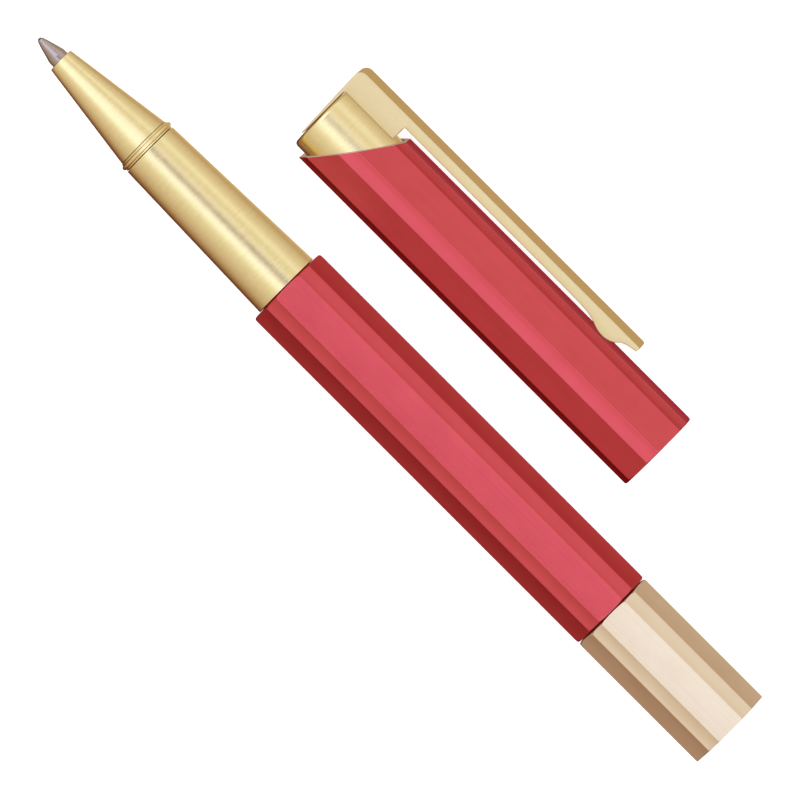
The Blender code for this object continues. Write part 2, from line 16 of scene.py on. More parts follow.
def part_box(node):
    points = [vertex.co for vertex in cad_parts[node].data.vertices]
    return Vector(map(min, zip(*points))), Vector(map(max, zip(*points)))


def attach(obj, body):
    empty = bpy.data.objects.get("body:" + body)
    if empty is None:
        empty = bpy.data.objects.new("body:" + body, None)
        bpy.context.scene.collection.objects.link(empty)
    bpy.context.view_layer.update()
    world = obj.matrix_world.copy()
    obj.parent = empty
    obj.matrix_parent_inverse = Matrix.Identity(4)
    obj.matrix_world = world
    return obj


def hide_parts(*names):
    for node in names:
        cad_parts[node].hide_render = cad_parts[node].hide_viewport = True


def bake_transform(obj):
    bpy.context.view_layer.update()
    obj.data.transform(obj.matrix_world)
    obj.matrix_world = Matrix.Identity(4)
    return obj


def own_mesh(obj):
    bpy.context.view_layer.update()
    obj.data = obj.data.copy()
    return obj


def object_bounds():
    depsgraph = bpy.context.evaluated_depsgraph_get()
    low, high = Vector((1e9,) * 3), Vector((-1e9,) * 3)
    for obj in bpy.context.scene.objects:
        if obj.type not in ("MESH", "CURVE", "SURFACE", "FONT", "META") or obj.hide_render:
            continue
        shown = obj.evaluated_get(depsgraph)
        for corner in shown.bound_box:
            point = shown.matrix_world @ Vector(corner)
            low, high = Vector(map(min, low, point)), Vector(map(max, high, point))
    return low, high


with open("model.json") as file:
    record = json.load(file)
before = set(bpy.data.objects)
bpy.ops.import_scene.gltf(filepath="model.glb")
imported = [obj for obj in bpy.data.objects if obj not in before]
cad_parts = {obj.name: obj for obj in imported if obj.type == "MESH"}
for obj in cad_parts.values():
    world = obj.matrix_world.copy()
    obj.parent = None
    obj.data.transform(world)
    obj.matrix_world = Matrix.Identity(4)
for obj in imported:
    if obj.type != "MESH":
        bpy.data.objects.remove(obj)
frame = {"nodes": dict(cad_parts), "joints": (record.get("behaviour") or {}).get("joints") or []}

frame_low, frame_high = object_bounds()

MM = 0.001


# -------- sizes from the frame


def middle(node):
    low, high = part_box(node)
    return 0.5 * (low + high)


def joint_named(name):
    return next(joint for joint in frame["joints"] if joint["name"] == name)


TIP_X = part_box("refill_ball")[0].x
PEN_AXIS = middle("refill_ball")
CAP_AXIS = middle("inner_cap")
MOUTH_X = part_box("cap_shell")[1].x
hinge_axis = joint_named("clip_flex")["axis"]
CAP_ROLL = math.atan2(-hinge_axis[1], hinge_axis[2])

PEN = Matrix.Translation((TIP_X, PEN_AXIS.y, PEN_AXIS.z)) @ Matrix.Scale(MM, 4)
CAP = (
    Matrix.Translation((MOUTH_X, CAP_AXIS.y, CAP_AXIS.z))
    @ Matrix.Rotation(CAP_ROLL, 4, "X")
    @ Matrix.Scale(MM, 4)
)


def pen_span(node):
    """Where a pen piece starts and ends, in millimetres from the writing tip."""
    low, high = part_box(node)
    return (low.x - TIP_X) / MM, (high.x - TIP_X) / MM


# The twelve-sided section: six wide flats and six narrow ones, each a little hollow.
WIDE_APOTHEM = PEN_AXIS.z / MM
NARROW_APOTHEM = 0.5 * (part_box("barrel")[1].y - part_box("barrel")[0].y) / MM
WIDE_HALF_ANGLE = math.atan2(
    NARROW_APOTHEM / WIDE_APOTHEM - math.cos(math.radians(30.0)), math.sin(math.radians(30.0))
)
CORNER_RADIUS = WIDE_APOTHEM / math.cos(WIDE_HALF_ANGLE)
ENVELOPE = CORNER_RADIUS + 0.01
WIDE_HOLLOW = 0.055
NARROW_HOLLOW = 0.07
EDGE_BREAK = 0.05
# Rounding of the ends of the barrel, and the recess on each side of the tail joint.
END_ROUND = 0.55
SEAT_RADIUS = 5.22
SEAT_DEPTH = 0.35

# Steps round a turned piece, a slim one and a tiny one.
STEPS = 144
FINE_STEPS = 72
TINY_STEPS = 48
# How far a guard point stands from the rounding beside it.
GUARD = 0.04
# A quarter turn in four steps, in degrees, after its start.
QUARTER = (22.5, 45.0, 67.5, 90.0)


# -------- nodes


class Net:
    """A node tree under construction."""

    def __init__(self, tree):
        self.tree = tree

    def add(self, kind, settings=None, sockets=None):
        """Add a node: its settings first, then its sockets by identifier, as values or links."""
        node = self.tree.nodes.new(kind)
        for key, value in (settings or {}).items():
            if key == "stops":
                self.set_stops(node.color_ramp, value)
            else:
                setattr(node, key, value)
        for key, value in (sockets or {}).items():
            target = next(socket for socket in node.inputs if socket.identifier == key)
            if isinstance(value, Number):
                value = value.socket
            if isinstance(value, bpy.types.NodeSocket):
                self.tree.links.new(value, target)
            else:
                target.default_value = value
        return node

    @staticmethod
    def set_stops(ramp, stops):
        while len(ramp.elements) < len(stops):
            ramp.elements.new(1.0)
        for element, (position, colour) in zip(ramp.elements, stops):
            element.position = position
            element.color = (*colour, 1.0)

    def number(self, kind, settings, sockets, output):
        return Number(self, self.add(kind, settings, sockets).outputs[output])

    def between(self, factor, first, second):
        """A colour between two others, each a triple or a link."""
        ends = [(*end, 1.0) if isinstance(end, tuple) else end for end in (first, second)]
        sockets = {"Factor_Float": factor, "A_Color": ends[0], "B_Color": ends[1]}
        mixed = self.add("ShaderNodeMix", {"data_type": "RGBA"}, sockets)
        return next(socket for socket in mixed.outputs if socket.identifier == "Result_Color")

    def give(self, geometry, finish):
        """End a Geometry Nodes tree with this geometry in this finish."""
        sockets = {"Geometry": geometry, "Material": finish}
        painted = self.add("GeometryNodeSetMaterial", None, sockets)
        result = next(item for item in self.tree.interface.items_tree if item.in_out == "OUTPUT")
        self.add("NodeGroupOutput", None, {result.identifier: painted.outputs["Geometry"]})


class Number:
    """A socket that carries one number, with arithmetic that adds the Math nodes."""

    def __init__(self, net, socket):
        self.net = net
        self.socket = socket

    def math(self, operation, *values):
        keys = ("Value", "Value_001", "Value_002")
        sockets = dict(zip(keys, values))
        return self.net.number("ShaderNodeMath", {"operation": operation}, sockets, "Value")

    def __add__(self, other):
        return self.math("ADD", self, other)

    def __sub__(self, other):
        return self.math("SUBTRACT", self, other)

    def __rsub__(self, other):
        return self.math("SUBTRACT", other, self)

    def __mul__(self, other):
        return self.math("MULTIPLY", self, other)

    def __truediv__(self, other):
        return self.math("DIVIDE", self, other)

    __radd__ = __add__
    __rmul__ = __mul__

    def bell(self, centre, width):
        """A bump of height one round a centre."""
        away = (self - centre) / width
        return self.math("EXPONENT", 0.0 - away * away)

    def rise(self, start, end):
        """Nought before start, one after end, with a soft slope between."""
        sockets = {"Value": self, "From Min": start, "From Max": end}
        settings = {"interpolation_type": "SMOOTHSTEP"}
        return self.net.number("ShaderNodeMapRange", settings, sockets, "Result")


class Finish(Net):
    """A material built from one Principled shader."""

    def __init__(self, name):
        self.material = bpy.data.materials.new(name)
        self.material.use_nodes = True
        super().__init__(self.material.node_tree)
        self.tree.nodes.clear()
        self.place = self.add("ShaderNodeTexCoord").outputs["Object"]

    def grain(self, cells, detail=2.0, roughness=0.5):
        """Noise from 0 to 1, with its cells per millimetre along x, y and z."""
        scale = [each / MM for each in cells]
        scaled = self.add("ShaderNodeMapping", None, {"Vector": self.place, "Scale": scale})
        place = scaled.outputs["Vector"]
        sockets = {"Vector": place, "Scale": 1.0, "Detail": detail, "Roughness": roughness}
        return self.number("ShaderNodeTexNoise", None, sockets, "Fac")

    def mark(self, name):
        """A value painted on the piece's points."""
        return self.number("ShaderNodeAttribute", {"attribute_name": name}, None, "Fac")

    def relief(self, height, depth, strength=1.0):
        """Bump from a height of 0 to 1, with its full depth in millimetres."""
        sockets = {"Height": height, "Distance": depth * MM, "Strength": strength}
        return self.add("ShaderNodeBump", None, sockets).outputs["Normal"]

    def done(self, colour, roughness, **fixed):
        """Close the material. Underscores in fixed names stand for the sockets' spaces."""
        sockets = {"Base Color": colour, "Roughness": roughness}
        sockets.update({key.replace("_", " "): value for key, value in fixed.items()})
        shader = self.add("ShaderNodeBsdfPrincipled", None, sockets)
        self.add("ShaderNodeOutputMaterial", None, {"Surface": shader.outputs["BSDF"]})
        return self.material


# -------- finishes


def anodised(name, deep, full, worn, rim, roughness):
    """Blasted and anodised aluminium: fine grain, faint drawing lines and paler ridges."""
    finish = Finish(name)
    grit = finish.grain((9.0, 9.0, 9.0), 3.0, 0.6)
    lines = finish.grain((0.05, 4.0, 4.0), 2.0)
    clouds = finish.grain((0.25, 0.4, 0.4), 2.0)
    tone = (grit * 0.40 + lines * 0.30 + clouds * 0.30).rise(0.30, 0.70)
    colour = finish.between(tone, deep, full)
    rubbed = finish.mark("ridge") * finish.grain((1.2, 3.0, 3.0), 3.0).rise(0.35, 0.75)
    colour = finish.between(rubbed * 0.20, colour, worn)
    sheen = roughness + (grit - 0.5) * 0.10 + (clouds - 0.5) * 0.06 - rubbed * 0.05
    normal = finish.relief(grit * 0.7 + lines * 0.3, 0.004, 0.5)
    return finish.done(colour, sheen, Metallic=1.0, Normal=normal, Specular_Tint=(*rim, 1.0))


def turned_metal(name, dark, pale, roughness, bite, tarnish=(0.5, 0.35, 0.15)):
    """Metal brushed round its own axis: fine rings broken into short strokes."""
    finish = Finish(name)
    rings = finish.grain((9.0, 0.35, 0.35), 3.0, 0.65)
    strokes = finish.grain((14.0, 1.6, 1.6), 2.0, 0.6)
    clouds = finish.grain((0.3, 0.25, 0.25), 3.0)
    brushing = (rings * 0.5 + strokes * 0.5).rise(0.25, 0.75)
    colour = finish.between(brushing, dark, pale)
    stain = clouds.rise(0.58, 0.80) * 0.12
    colour = finish.between(stain, colour, tarnish)
    sheen = roughness + (brushing - 0.5) * 0.12 * bite + (clouds - 0.5) * 0.06
    normal = finish.relief(brushing, 0.006 * bite, 0.6)
    rim = (1.0, 0.9, 0.6, 1.0)
    return finish.done(colour, sheen, Metallic=1.0, Normal=normal, Specular_Tint=rim)


def strip_brass():
    """Brass strip, brushed along its length."""
    finish = Finish("Clip_brass")
    lines = finish.grain((0.35, 9.0, 9.0), 3.0, 0.6)
    fine = finish.grain((1.5, 16.0, 16.0), 2.0)
    clouds = finish.grain((0.15, 0.4, 0.4), 2.0)
    brushing = (lines * 0.5 + fine * 0.5).rise(0.30, 0.70)
    colour = finish.between(brushing, (0.58, 0.43, 0.20), (0.65, 0.49, 0.24))
    colour = finish.between(clouds.rise(0.55, 0.80) * 0.12, colour, (0.55, 0.38, 0.17))
    sheen = 0.33 + (brushing - 0.5) * 0.12 + (clouds - 0.5) * 0.05
    normal = finish.relief(brushing, 0.005, 0.5)
    rim = (1.0, 0.85, 0.5, 1.0)
    return finish.done(colour, sheen, Metallic=1.0, Normal=normal, Specular_Tint=rim)


def drawn_wire():
    """Spring steel with drawing marks and a trace of oil."""
    finish = Finish("Drawn_spring_wire")
    marks = finish.grain((6.0, 2.0, 2.0), 3.0, 0.6)
    film = finish.grain((0.7, 0.7, 0.7), 2.0)
    colour = finish.between(marks, (0.36, 0.36, 0.38), (0.62, 0.61, 0.60))
    colour = finish.between(film.rise(0.5, 0.8) * 0.4, colour, (0.30, 0.26, 0.22))
    sheen = 0.24 + marks * 0.12 + film * 0.06
    return finish.done(colour, sheen, Metallic=1.0, Normal=finish.relief(marks, 0.003, 0.4))


def carbide_with_painted_shade():
    """The writing ball: ground carbide painted near black as painted shade from the steel lip
    round it, with a skin of ink.
    """
    finish = Finish("Sintered_carbide")
    crystals = finish.grain((40.0, 40.0, 40.0), 3.0, 0.7)
    ink = finish.grain((3.0, 3.0, 3.0), 2.0)
    # Painted shade: the carbide's near-black colours stand in for the shadow of the lip, not the
    # ball's own grey.
    colour = finish.between(crystals.rise(0.4, 0.7), (0.020, 0.020, 0.024), (0.11, 0.105, 0.11))
    colour = finish.between(ink.rise(0.45, 0.65) * 0.6, colour, (0.008, 0.010, 0.028))
    sheen = 0.16 + crystals * 0.18
    return finish.done(colour, sheen, Metallic=0.7, Normal=finish.relief(crystals, 0.002, 0.4))


def moulded(name, dark, pale, roughness):
    """Moulded plastic or rubber: a matt skin, flow clouds and a little dust."""
    finish = Finish(name)
    skin = finish.grain((7.0, 7.0, 7.0), 3.0, 0.6)
    flow = finish.grain((0.2, 0.6, 0.6), 2.0)
    dust = finish.grain((3.5, 3.5, 3.5), 2.0, 0.8).rise(0.70, 0.80)
    colour = finish.between(skin * 0.5 + flow * 0.5, dark, pale)
    lint = tuple(0.5 * value + 0.25 for value in pale)
    colour = finish.between(dust * 0.25, colour, lint)
    sheen = roughness + (skin - 0.5) * 0.14 + dust * 0.1
    return finish.done(colour, sheen, Normal=finish.relief(skin, 0.006, 0.4))


def inked_fibre():
    """Bonded fibre soaked with ink, its strands running lengthwise."""
    finish = Finish("Inked_fibre")
    strands = finish.grain((0.4, 9.0, 9.0), 3.0, 0.7)
    soak = finish.grain((0.12, 0.5, 0.5), 2.0)
    colour = finish.between(strands, (0.010, 0.014, 0.05), (0.07, 0.09, 0.22))
    colour = finish.between(soak.rise(0.5, 0.7) * 0.5, colour, (0.004, 0.006, 0.02))
    return finish.done(colour, 0.75 + strands * 0.2, Normal=finish.relief(strands, 0.03, 0.8))


RED = anodised(
    "Red_anodised",
    deep=(0.54, 0.065, 0.068), full=(0.60, 0.079, 0.081),
    worn=(0.75, 0.20, 0.21), rim=(0.65, 0.3, 0.34),
    roughness=0.34,
)
# Painted shade: a darker copy of the red for the cap's bore, standing in for the shade inside the
# tube.
RED_BORE_PAINTED_SHADE = anodised(
    "Red_bore",
    deep=(0.14, 0.010, 0.014), full=(0.20, 0.014, 0.018),
    worn=(0.3, 0.05, 0.05), rim=(0.05, 0.01, 0.01),
    roughness=0.5,
)
CHAMPAGNE = anodised(
    "Champagne_anodised",
    deep=(0.68, 0.52, 0.33), full=(0.74, 0.58, 0.39),
    worn=(0.90, 0.80, 0.65), rim=(0.9, 0.8, 0.7),
    roughness=0.38,
)
BARE = anodised(
    "Bare_aluminium",
    deep=(0.60, 0.50, 0.40), full=(0.76, 0.67, 0.55),
    worn=(0.9, 0.86, 0.8), rim=(0.8, 0.7, 0.6),
    roughness=0.32,
)
BRASS = turned_metal(
    "Brushed_brass",
    dark=(0.72, 0.575, 0.265), pale=(0.82, 0.66, 0.33),
    roughness=0.21, bite=0.5,
)
INNER_BRASS = turned_metal(
    "Machined_brass",
    dark=(0.52, 0.36, 0.13), pale=(0.78, 0.58, 0.25),
    roughness=0.26, bite=1.4,
)
STEEL = turned_metal(
    "Turned_steel",
    dark=(0.33, 0.26, 0.22), pale=(0.46, 0.36, 0.30),
    roughness=0.17, bite=0.4,
    tarnish=(0.20, 0.16, 0.14),
)
CLIP_BRASS = strip_brass()
SPRING_WIRE = drawn_wire()
CARBIDE_PAINTED_SHADE = carbide_with_painted_shade()
BLACK_RUBBER = moulded("Black_rubber", (0.012, 0.012, 0.012), (0.035, 0.034, 0.033), 0.72)
BLACK_PLASTIC = moulded("Black_plastic", (0.016, 0.016, 0.017), (0.045, 0.045, 0.047), 0.42)
REFILL_PLASTIC = moulded("Refill_plastic", (0.62, 0.62, 0.60), (0.78, 0.78, 0.75), 0.35)
INKED_FIBRE = inked_fibre()


# -------- making meshes


def new_object(name, data):
    thing = bpy.data.objects.new(name, data)
    bpy.context.scene.collection.objects.link(thing)
    return thing


def new_piece(mesh, name, skin):
    """Make a mesh an object at the origin, smooth, with one finish."""
    piece = new_object(name, mesh)
    mesh.materials.clear()
    mesh.materials.append(skin)
    mesh.shade_smooth()
    return piece


def settle(piece, body, slot, *nodes):
    """Hand a finished piece to its body and hide the solids it stands for; the slot is not used.
    """
    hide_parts(*nodes)
    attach(piece, body)
    # The cap stays out of the pen's reflections, as if each were lit alone.
    piece.visible_glossy = body != "cap"


def weld(mesh):
    """Merge doubles and turn every face outwards."""
    shape = bmesh.new()
    shape.from_mesh(mesh)
    bmesh.ops.remove_doubles(shape, verts=shape.verts, dist=1e-7)
    bmesh.ops.dissolve_degenerate(shape, edges=shape.edges, dist=1e-8)
    bmesh.ops.recalc_face_normals(shape, faces=shape.faces)
    shape.to_mesh(mesh)
    shape.free()


def curve_point(start, bend, end, t):
    """A point on a curve from start to end that is drawn towards a bend."""
    return start * (1 - t) ** 2 + bend * 2 * t * (1 - t) + end * t * t


def on_arc(centre, radius, degrees):
    """A point on a circle in the plane of an outline."""
    angle = math.radians(degrees)
    return Vector((centre[0] + radius * math.cos(angle), centre[1] + radius * math.sin(angle)))


def softened(corners, pieces=4, guard=GUARD):
    """An outline with its corners rounded.

    Each corner is (x, radius, size of the round). A guard point stands just off each round,
    so that smooth shading stays flat on the faces beside it.
    """
    outline = []
    count = len(corners)
    for index, (x, r, size) in enumerate(corners):
        here = Vector((x, r))
        if size <= 0.0:
            outline.append((x, r))
            continue
        before = (Vector(corners[index - 1][:2]) - here).normalized()
        after = (Vector(corners[(index + 1) % count][:2]) - here).normalized()
        start = here + before * size
        end = here + after * size
        outline.append(tuple(start + before * guard))
        for step in range(pieces + 1):
            outline.append(tuple(curve_point(start, here, end, step / pieces)))
        outline.append(tuple(end + after * guard))
    return outline


def turned(name, outline, where, skin, steps=STEPS, shaped=None):
    """A solid of revolution about x from a closed outline of (x, radius).

    shaped, if given, moves each point, drawn as (x, y, z), to its final place.
    """
    vertices = []
    for x, radius in outline:
        for step in range(steps):
            angle = 2 * math.pi * step / steps
            point = Vector((x, radius * math.cos(angle), radius * math.sin(angle)))
            vertices.append(shaped(point) if shaped else point)
    faces = []
    count = len(outline)
    for row in range(count):
        after = (row + 1) % count
        if outline[row][1] == 0.0 and outline[after][1] == 0.0:
            continue
        for step in range(steps):
            turn = (step + 1) % steps
            here, there = row * steps, after * steps
            faces.append((here + step, here + turn, there + turn, there + step))
    mesh = bpy.data.meshes.new(name)
    mesh.from_pydata(vertices, [], faces)
    mesh.transform(where)
    weld(mesh)
    return new_piece(mesh, name, skin)


# -------- twelve-sided pieces


def sixth():
    """One sixth of the section, mid-flat to mid-flat: (radius, angle, ridge) for each column."""
    half_wide = CORNER_RADIUS * math.sin(WIDE_HALF_ANGLE)
    half_narrow = CORNER_RADIUS * math.sin(math.radians(30.0) - WIDE_HALF_ANGLE)

    def on_flat(u, half, apothem, hollow, turn):
        height = apothem - hollow * (1.0 - (u / half) ** 2)
        flat = Matrix.Rotation(math.radians(turn), 2)
        return flat @ Vector((height, u))

    def across(half, start, end):
        edge = 1.0 - EDGE_BREAK / half
        guard = edge - GUARD / half
        full = [-edge, -guard, -0.75, -0.5, -0.25, 0.0, 0.25, 0.5, 0.75, guard, edge]
        return [fraction * half for fraction in full if start <= fraction <= end]

    wide = (half_wide, WIDE_APOTHEM, WIDE_HOLLOW)
    narrow = (half_narrow, NARROW_APOTHEM, NARROW_HOLLOW)
    flats = [
        [on_flat(u, *wide, 0.0) for u in across(half_wide, 0.0, 1.0)],
        [on_flat(u, *narrow, 30.0) for u in across(half_narrow, -1.0, 1.0)],
        [on_flat(u, *wide, 60.0) for u in across(half_wide, -1.0, 0.0)],
    ]
    corners = [WIDE_HALF_ANGLE, math.radians(60.0) - WIDE_HALF_ANGLE]
    columns = []
    for index, flat in enumerate(flats):
        columns += [(point, 0.0) for point in flat]
        if index < 2:
            tip = CORNER_RADIUS * Vector((math.cos(corners[index]), math.sin(corners[index])))
            for t in (0.25, 0.5, 0.75):
                point = curve_point(flat[-1], tip, flats[index + 1][0], t)
                columns.append((point, 1.0 - abs(2 * t - 1)))
    return [(point.length, math.atan2(point.y, point.x), ridge) for point, ridge in columns]


def soft_min(a, b, width):
    near = max(width - abs(a - b), 0.0) / width
    return min(a, b) - 0.25 * near * near * width


def bar_end(radius, edge_round, edge_break=0.06):
    """The rounded end of a column as (distance from the end face, radius), face first."""
    rows, blend = 14, 0.05
    end = []
    for row in range(rows + 1):
        angle = 0.5 * math.pi * row / rows
        depth = edge_round * (1.0 - math.cos(angle))
        turned_radius = ENVELOPE - edge_round + edge_round * math.sin(angle)
        shrink = 0.0
        if depth < edge_break:
            shrink = edge_break * (1.0 - math.sqrt(1.0 - (1.0 - depth / edge_break) ** 2))
        end.append((depth, soft_min(turned_radius, radius, blend) - shrink))
    return end


def sector_mesh(name, front, rear, front_round, rear_round, bore, front_break=0.06):
    """One sixth of a bar, with its bore from rear to front as (x, radius)."""
    guard = 0.3
    vertices = []
    ridges = []
    columns = sixth()
    for radius, angle, ridge in columns:
        outline = [(front + depth, r) for depth, r in bar_end(radius, front_round, front_break)]
        outline.append((front + front_round + guard, radius))
        outline.append((rear - rear_round - guard, radius))
        outline += [(rear - depth, r) for depth, r in reversed(bar_end(radius, rear_round))]
        sides = len(outline)
        outline += bore
        for row, (x, r) in enumerate(outline):
            vertices.append((x, r * math.cos(angle), r * math.sin(angle)))
            ridges.append(ridge if row < sides else 0.0)
    rows = len(outline)
    faces = []
    for column in range(len(columns) - 1):
        for row in range(rows):
            after = (row + 1) % rows
            here = column * rows
            beside = here + rows
            faces.append((here + row, here + after, beside + after, beside + row))
    mesh = bpy.data.meshes.new(name)
    mesh.from_pydata(vertices, [], faces)
    mesh.attributes.new("ridge", "FLOAT", "POINT").data.foreach_set("value", ridges)
    return mesh


def new_tree(name, inputs):
    """A Geometry Nodes tree with a geometry, the named inputs and a finish, giving a geometry."""
    tree = bpy.data.node_groups.new(name, "GeometryNodeTree")
    tree.interface.new_socket("Geometry", in_out="INPUT", socket_type="NodeSocketGeometry")
    for label, kind in {**inputs, "Finish": "Material"}.items():
        tree.interface.new_socket(label, in_out="INPUT", socket_type="NodeSocket" + kind)
    tree.interface.new_socket("Geometry", in_out="OUTPUT", socket_type="NodeSocketGeometry")
    net = Net(tree)
    return net, net.add("NodeGroupInput").outputs


def sides_tree():
    """Repeat one sector round the x axis, lean its far end over and weld it."""
    inputs = {"Sides": "Int", "Cut before": "Float", "Cut slope": "Float"}
    net, given = new_tree("Sides_round_an_axis", inputs)
    points = net.add("GeometryNodePoints", None, {"Count": given["Sides"]})
    sides = Number(net, given["Sides"])
    index = Number(net, net.add("GeometryNodeInputIndex").outputs["Index"])
    step = sides.math("DIVIDE", 2 * math.pi, sides)
    turn = net.add("ShaderNodeCombineXYZ", None, {"X": index * step})
    sockets = {
        "Points": points.outputs[0],
        "Instance": given["Geometry"],
        "Rotation": turn.outputs["Vector"],
    }
    copies = net.add("GeometryNodeInstanceOnPoints", None, sockets).outputs["Instances"]
    solid = net.add("GeometryNodeRealizeInstances", None, {"Geometry": copies})
    position = net.add("GeometryNodeInputPosition").outputs["Position"]
    apart = net.add("ShaderNodeSeparateXYZ", None, {"Vector": position}).outputs
    settings = {"data_type": "FLOAT", "operation": "LESS_THAN"}
    sockets = {"A": apart["X"], "B": given["Cut before"]}
    far = net.add("FunctionNodeCompare", settings, sockets)
    offset = Number(net, apart["Y"]) * given["Cut slope"]
    lean = net.add("ShaderNodeCombineXYZ", None, {"X": offset})
    sockets = {
        "Geometry": solid.outputs["Geometry"],
        "Selection": far.outputs["Result"],
        "Offset": lean.outputs["Vector"],
    }
    leaned = net.add("GeometryNodeSetPosition", None, sockets)
    sockets = {"Geometry": leaned.outputs["Geometry"], "Distance": 1e-4}
    welded = net.add("GeometryNodeMergeByDistance", None, sockets)
    net.give(welded.outputs["Geometry"], given["Finish"])
    return net.tree


def grown(name, mesh, tree, values, where, skin):
    """Run a Geometry Nodes tree once and keep its result as a plain mesh piece."""
    seed = new_object(name + "_seed", mesh)
    step = seed.modifiers.new("Grow", "NODES")
    step.node_group = tree
    inputs = {**values, "Finish": skin}
    for item in tree.interface.items_tree:
        if item.in_out == "INPUT" and item.name in inputs:
            step[item.identifier] = inputs[item.name]
    evaluated = seed.evaluated_get(bpy.context.evaluated_depsgraph_get())
    made = bpy.data.meshes.new_from_object(evaluated)
    bpy.data.objects.remove(seed)
    made.name = name
    made.transform(where)
    weld(made)
    return new_piece(made, name, skin)


SIDES = sides_tree()


def twelve_sided(name, mesh, turn, where, skin, cut_before=-1e3, cut_slope=0.0):
    """A bar of six sectors. turn, in degrees, rolls a wide flat away from +Y."""
    values = {"Sides": 6, "Cut before": cut_before, "Cut slope": cut_slope}
    roll = Matrix.Rotation(math.radians(turn), 4, "X")
    return grown(name, mesh, SIDES, values, where @ roll, skin)


def make_barrel():
    """The red barrel, hollow from end to end."""
    front, rear = pen_span("barrel")
    inside = 4.95
    bore = [
        (rear, SEAT_RADIUS), (rear - SEAT_DEPTH, SEAT_RADIUS),
        (rear - SEAT_DEPTH, inside), (front + 0.12, inside),
        (front + 0.04, inside + 0.03), (front, inside + 0.12),
    ]
    mesh = sector_mesh("Barrel_tube", front, rear, END_ROUND, END_ROUND, bore)
    piece = twelve_sided("Barrel_tube", mesh, 30.0, PEN, RED)
    settle(piece, "barrel", "red_anodised", "barrel")


def make_tail():
    """The champagne tail piece, with a stepped blind bore."""
    front, rear = pen_span("tail_piece")
    sleeve_depth, sleeve_radius = 7.21, 4.65
    blind_depth, blind_radius = 17.31, 3.9
    bore = [
        (rear, 3.0), (rear, 0.0), (front + blind_depth, 0.0),
        (front + blind_depth, blind_radius), (front + sleeve_depth, blind_radius),
        (front + sleeve_depth, sleeve_radius), (front + SEAT_DEPTH, sleeve_radius),
        (front + SEAT_DEPTH, SEAT_RADIUS), (front, SEAT_RADIUS),
    ]
    mesh = sector_mesh("Tail_piece", front, rear, END_ROUND, 0.20, bore)
    piece = twelve_sided("Tail_piece_turned", mesh, 30.0, PEN, CHAMPAGNE)
    settle(piece, "barrel", "champagne_anodised", "tail_piece")


def repaint(piece, where, skin, chosen):
    """Give another finish to the faces whose centre, as drawn, is chosen."""
    piece.data.materials.append(skin)
    index = len(piece.data.materials) - 1
    back = where.inverted()
    for face in piece.data.polygons:
        if chosen(back @ face.center):
            face.material_index = index


def make_cap_shell():
    """The red cap tube: a square mouth, and a slanted end that opens on the finial."""
    cut_depth, cut_slope, cut_skin = 55.84, 0.744, 0.07
    inside, lip = 5.14, 0.06
    bore = [
        (0.0, inside + 0.16), (-0.05, inside + lip), (-0.16, inside),
        (-cut_depth + 0.1, inside), (-cut_depth, inside + lip),
    ]
    mesh = sector_mesh("Cap_tube", -cut_depth, 0.0, 0.10, 0.40, bore, 0.10)
    piece = twelve_sided("Cap_tube", mesh, 0.0, CAP, RED, 1.0 - cut_depth, cut_slope)

    def in_bore(point):
        return math.hypot(point.y, point.z) < inside + 0.11

    def on_cut(point):
        return point.x + cut_depth - cut_slope * point.y < cut_skin

    # The bore's darker red is painted shade for the dark inside of the tube.
    repaint(piece, CAP, RED_BORE_PAINTED_SHADE, in_bore)
    repaint(piece, CAP, BARE, on_cut)
    settle(piece, "cap", "red_anodised", "cap_shell")


# -------- pen pieces


def make_nose_cone():
    """The cone round the refill's nose; its skirt reaches back to the catch ring."""
    front, rear = pen_span("nose_cone")
    rear += 0.13
    nose_bore, inside, skirt_bore = 1.38, 2.0, 3.15
    nose_rear, skirt_front = 10.7, 16.6
    corners = [
        (front, 1.40, 0.03), (front, 1.80, 0.16), (rear, 3.88, 0.03),
        (rear, skirt_bore, 0.02), (skirt_front, skirt_bore, 0.0),
        (skirt_front, inside, 0.0), (nose_rear, inside, 0.0),
        (nose_rear, nose_bore, 0.0),
    ]
    piece = turned("Nose_cone", softened(corners), PEN, BRASS)
    settle(piece, "section", "brushed_brass", "nose_cone")


def make_catch_ring():
    """The ring that the cap snaps over: a flat band, a groove and a rounded crest."""
    front, rear = pen_span("catch_ring")
    front -= 0.06
    inside, band = 3.16, 4.00
    bead, bead_centre = 0.30, (front + 0.60, 4.02)
    crest = [on_arc(bead_centre, bead, 180.0 - 15.0 * step) for step in range(13)]
    outline = [
        (front, inside), (front, band - 0.16), (front + 0.03, band - 0.10),
        (front + 0.10, band), (front + 0.22, band + 0.01), *crest, (front + 0.94, band),
        (rear - 0.03, band + 0.02), (rear, band - 0.02), (rear, inside),
    ]
    piece = turned("Catch_ring", outline, PEN, BRASS)
    settle(piece, "section", "brushed_brass", "catch_ring")


def make_grip_sleeve():
    """The tapered grip; its rear end reaches back to the barrel."""
    front, rear = pen_span("grip_sleeve")
    rear += 0.10
    front_radius, rear_radius, inside = 4.13, 4.87, 3.60
    corners = [
        (front, front_radius, 0.06), (rear, rear_radius, 0.08), (rear, inside, 0.02),
        (front, inside, 0.02),
    ]
    piece = turned("Grip_sleeve", softened(corners), PEN, BRASS)
    settle(piece, "section", "brushed_brass", "grip_sleeve")


